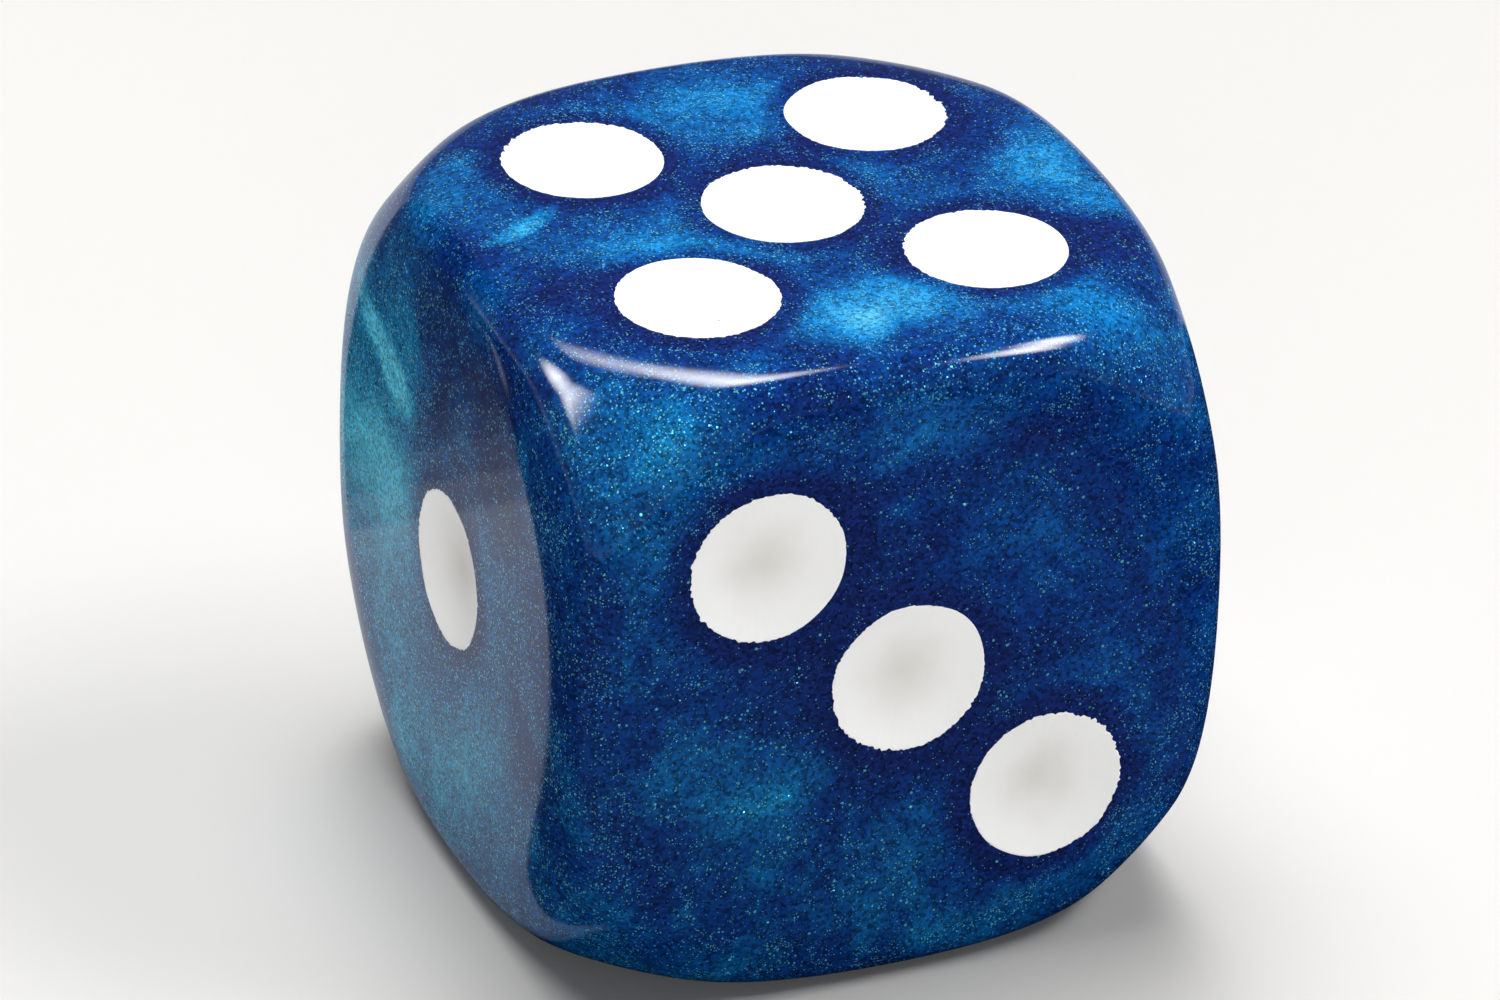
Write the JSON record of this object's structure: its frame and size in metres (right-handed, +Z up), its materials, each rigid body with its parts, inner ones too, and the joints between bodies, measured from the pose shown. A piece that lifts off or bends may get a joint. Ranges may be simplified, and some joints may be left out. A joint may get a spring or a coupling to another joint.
{
  "type": "playing die",
  "caption": "Six-sided playing die in pearl resin with rounded edges and corners and white painted pips set in shallow dishes.",
  "frame": {"origin": "centre of the bottom of the bounding box, the middle of the face that the die stands on", "axes": "+Z up with the five on top and the two below, -Y towards the reader with the three, +Y the four, -X the one, +X the six"},
  "size_m": [0.016, 0.016, 0.016],
  "materials": {
    "pearl_resin": "polished navy and teal pearl resin with fine glitter",
    "pip_paint": "white pip paint, satin"
  },
  "bodies": {
    "root": {"resin_block": "pearl_resin", "one_face_pip_paint_1": "pip_paint", "two_face_pip_paint_1": "pip_paint", "two_face_pip_paint_2": "pip_paint", "three_face_pip_paint_1": "pip_paint", "three_face_pip_paint_2": "pip_paint", "three_face_pip_paint_3": "pip_paint", "four_face_pip_paint_1": "pip_paint", "four_face_pip_paint_2": "pip_paint", "four_face_pip_paint_3": "pip_paint", "four_face_pip_paint_4": "pip_paint", "five_face_pip_paint_1": "pip_paint", "five_face_pip_paint_2": "pip_paint", "five_face_pip_paint_3": "pip_paint", "five_face_pip_paint_4": "pip_paint", "five_face_pip_paint_5": "pip_paint", "six_face_pip_paint_1": "pip_paint", "six_face_pip_paint_2": "pip_paint", "six_face_pip_paint_3": "pip_paint", "six_face_pip_paint_4": "pip_paint", "six_face_pip_paint_5": "pip_paint", "six_face_pip_paint_6": "pip_paint"}
  },
  "joints": []
}
